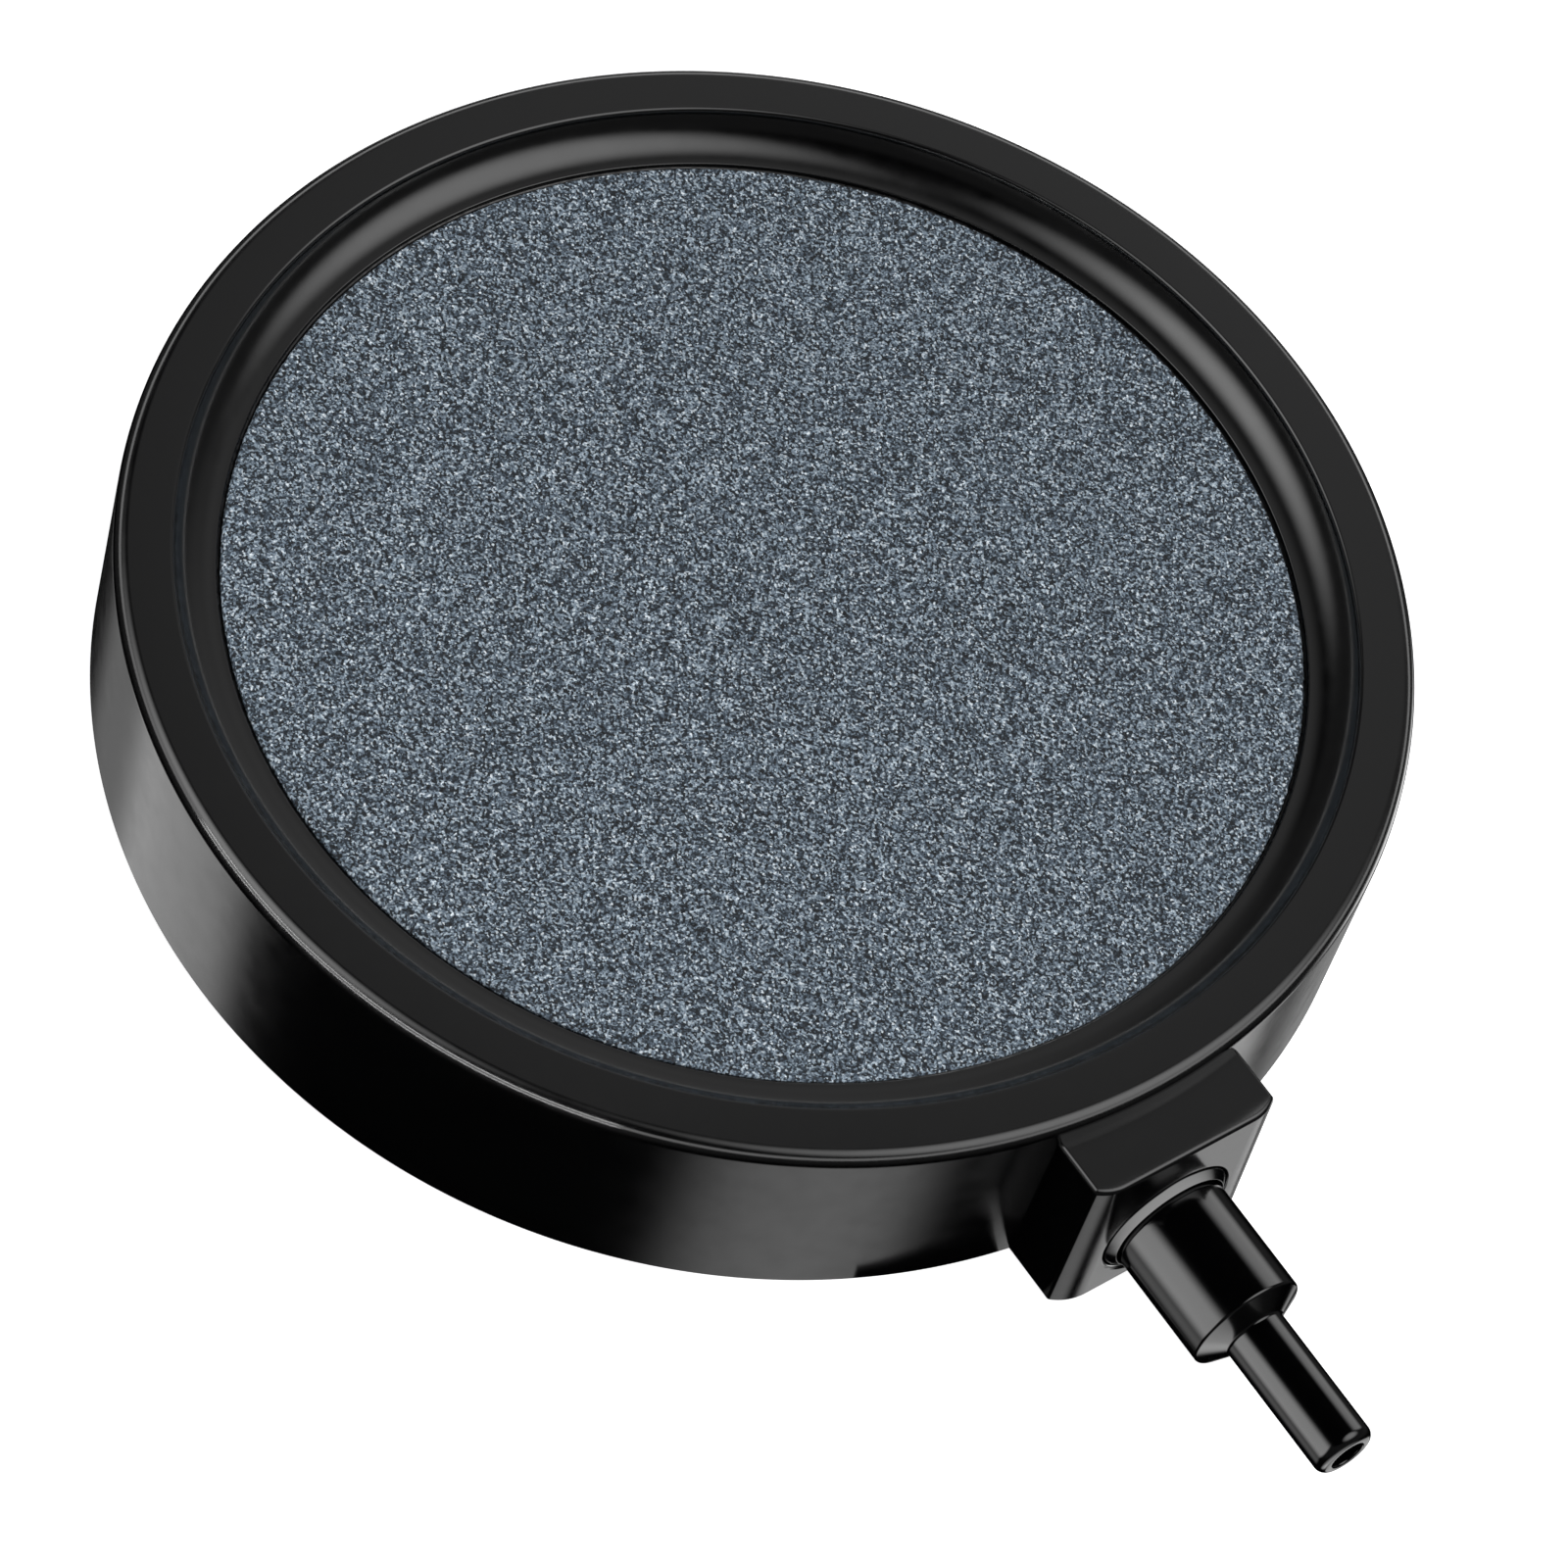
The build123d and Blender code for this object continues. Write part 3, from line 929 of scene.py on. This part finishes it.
# %% Add dim walls between the windows
# Between these two pairs of angles above the table the walls fade in and out.
wall_strength = 0.1
wall_foot = (-32, -2)
wall_top = (34, 48)
foot_dark, foot_full = (math.sin(math.radians(angle)) for angle in wall_foot)
top_full, top_dark = (math.sin(math.radians(angle)) for angle in wall_top)
height = add_node(tree, "ShaderNodeSeparateXYZ", {}, {"Vector": towards}).outputs["Z"]
below_ceiling = add_node(tree, "ShaderNodeMapRange",
                         {"interpolation_type": "SMOOTHSTEP",
                          "From Min": top_dark, "From Max": top_full,
                          "To Min": 0.0, "To Max": wall_strength}, {"Value": height})
above_ground = add_node(tree, "ShaderNodeMapRange",
                        {"interpolation_type": "SMOOTHSTEP",
                         "From Min": foot_dark, "From Max": foot_full}, {"Value": height})
total = add_node(tree, "ShaderNodeMath", {"operation": "MULTIPLY"},
                 {0: below_ceiling.outputs["Result"], 1: above_ground.outputs["Result"]})
for azimuth, elevation, inner, outer_edge, strength in windows.values():
    total = add_node(tree, "ShaderNodeMath", {"operation": "ADD"},
                     {0: total.outputs["Value"],
                      1: window(azimuth, elevation, inner, outer_edge, strength)})
total = add_node(tree, "ShaderNodeMath",
                 {"operation": "MAXIMUM", 1: 0.0}, {0: total.outputs["Value"]})
light = add_node(tree, "ShaderNodeBackground", {}, {"Color": total.outputs["Value"]})

# %% Show a plain pale backdrop behind the table
backdrop = add_node(tree, "ShaderNodeBackground", {"Color": linear("ffffff")}, {})
ray = tree.nodes.new("ShaderNodeLightPath")
seen = add_node(tree, "ShaderNodeMixShader", {},
                {"Fac": ray.outputs["Is Camera Ray"], 1: light.outputs["Background"],
                 2: backdrop.outputs["Background"]})
add_node(tree, "ShaderNodeOutputWorld", {}, {"Surface": seen.outputs["Shader"]})
bpy.context.scene.view_settings.view_transform = "Standard"
print("windows:", len(windows))

# %% [markdown]
# Dish and connector want different lights. The cove asks for one broad soft patch, the
# connector for a bright side and a deep black top. A photographer screens each light off
# with cards. Here light linking does that: a lamp lights only the pieces in its collection.
# Each lamp is a round softbox that is bright in its middle and fades towards its edge.

# %% Say which pieces each lamp may light
dish_only = bpy.data.collections.new("lit_dish")
dish_only.objects.link(dish)
connector_only = bpy.data.collections.new("lit_connector")
connector_only.objects.link(connector)
connector_only.objects.link(collar)
collar_only = bpy.data.collections.new("lit_collar")
collar_only.objects.link(collar)
stone_only = bpy.data.collections.new("lit_stone")
stone_only.objects.link(stone)


# %% One soft-edged softbox
def softbox(name, azimuth, elevation, half_angle, radiance, lit, core=0.1):
    """Round softbox a metre away that fades to its edge and lights one collection."""
    lamp = bpy.data.lights.new(name, "AREA")
    lamp.shape = "DISK"
    lamp.size = 2 * math.tan(math.radians(half_angle))
    lamp.energy = radiance * math.pi * math.pi * (lamp.size / 2) ** 2
    lamp.use_nodes = True
    tree = lamp.node_tree
    on_lamp = tree.nodes.new("ShaderNodeNewGeometry").outputs["Parametric"]
    off_centre = add_node(tree, "ShaderNodeVectorMath",
                          {"operation": "DISTANCE", 1: (0.5, 0.5, 0)}, {0: on_lamp})
    fade = add_node(tree, "ShaderNodeMapRange",
                    {"interpolation_type": "SMOOTHSTEP", "From Min": core / 2, "From Max": 0.5,
                     "To Min": 1.0, "To Max": 0.0}, {"Value": off_centre.outputs["Value"]})
    tree.links.new(fade.outputs["Result"], tree.nodes["Emission"].inputs["Strength"])
    box = bpy.data.objects.new(name, lamp)
    a, e = math.radians(azimuth), math.radians(elevation)
    towards_box = Vector((math.cos(e) * math.cos(a), math.cos(e) * math.sin(a), math.sin(e)))
    box.location = towards_box
    box.rotation_mode = "QUATERNION"
    box.rotation_quaternion = towards_box.to_track_quat("Z", "Y")
    box.visible_camera = False
    bpy.context.scene.collection.objects.link(box)
    box.light_linking.receiver_collection = lit
    return box


# %% Hang the softboxes
softboxes = [
    softbox("cove_softbox", -130, 54, 34, 3.8, dish_only),
    softbox("ceiling_panel", 129, 55, 26, 0.34, dish_only),
    softbox("back_panel", 122, 26, 40, 0.36, dish_only),
    softbox("recess_light", 74, -22, 20, 5.0, dish_only),
    softbox("left_softbox", -106, 4, 37, 3.8, connector_only, core=0.35),
    softbox("low_left_softbox", -110, -40, 26, 0.9, connector_only),
    softbox("back_softbox", 108, 27, 27, 2.1, connector_only, core=0.3),
    softbox("front_softbox", 2, -36, 32, 2.6, connector_only),
    softbox("collar_softbox", 5, -4, 62, 5.5, collar_only),
    softbox("raking_light", -75, 32, 12, 60.0, stone_only),
]
print("linked softboxes:", [box.name for box in softboxes])

# %% [markdown]
# The thin bright line along the rim comes from a low ring of light close round the dish. It
# is that close so that only the rim's outer rounding sees it. From farther off, the cove on
# the other side would catch it too. It is bright as a whole and brightest at the front left.

# %% Ring light close round the rim
def light_band(name, radius, low, high, start, end, strength):
    """Upright glowing band round the dish that only the dish reflects."""
    angles = np.radians(np.linspace(start, end, 97))
    vertices = [
        (radius * MM * math.cos(a), radius * MM * math.sin(a), z * MM)
        for z in (low, high)
        for a in angles
    ]
    count = len(angles)
    faces = [[i, i + 1, count + i + 1, count + i] for i in range(count - 1)]
    band = mesh_piece(name, vertices, faces)
    glow = bpy.data.materials.new(name)
    glow.use_nodes = True
    tree = glow.node_tree
    tree.nodes.clear()
    emission = add_node(tree, "ShaderNodeEmission", {"Strength": strength}, {})
    add_node(tree, "ShaderNodeOutputMaterial", {}, {"Surface": emission.outputs["Emission"]})
    band.data.materials.append(glow)
    band.visible_camera = False
    band.visible_diffuse = False
    band.visible_shadow = False
    band.light_linking.receiver_collection = dish_only


# %% Put the two bands in place
light_band("rim_ring_light", 57.5, 20.2, 22.2, -180, 180, 2.4)
light_band("rim_front_light", 58.2, 20.2, 23.2, -96, -48, 20.0)

# %% [markdown]
# The camera looks down at 55 degrees with a long lens, which keeps the rim close to a true
# ellipse, and it is rolled by 19 degrees so that the connector points down and to the right.
# It is placed by direction and distance from a point in the middle of the part, because
# those numbers can be read, and three coordinates with a rotation can't.

# %% Camera
camera_direction = math.radians(-50.454)
camera_height = math.radians(55.19)
camera_roll = math.radians(18.690)
camera_distance = 559.46 * MM
aim_offset = Vector((-3.436, -4.710, -1.004)) * MM

low_corner, high_corner = (Vector(corner) for corner in cad_box)
aim = (low_corner + high_corner) / 2 + aim_offset
back = Vector((
    math.cos(camera_height) * math.cos(camera_direction),
    math.cos(camera_height) * math.sin(camera_direction),
    math.sin(camera_height),
))
level = Vector((0, 0, 1)).cross(back).normalized()
above = back.cross(level)
right = level * math.cos(camera_roll) + above * math.sin(camera_roll)
up = above * math.cos(camera_roll) - level * math.sin(camera_roll)

camera_data = bpy.data.cameras.new("camera")
camera_data.sensor_width = 36.0
camera_data.lens = 158.274
camera = bpy.data.objects.new("camera", camera_data)
camera.matrix_world = Matrix((right, up, back)).transposed().to_4x4()
camera.location = aim + back * camera_distance
bpy.context.scene.collection.objects.link(camera)
bpy.context.scene.camera = camera
print("camera at", [round(c / MM, 1) for c in camera.location])
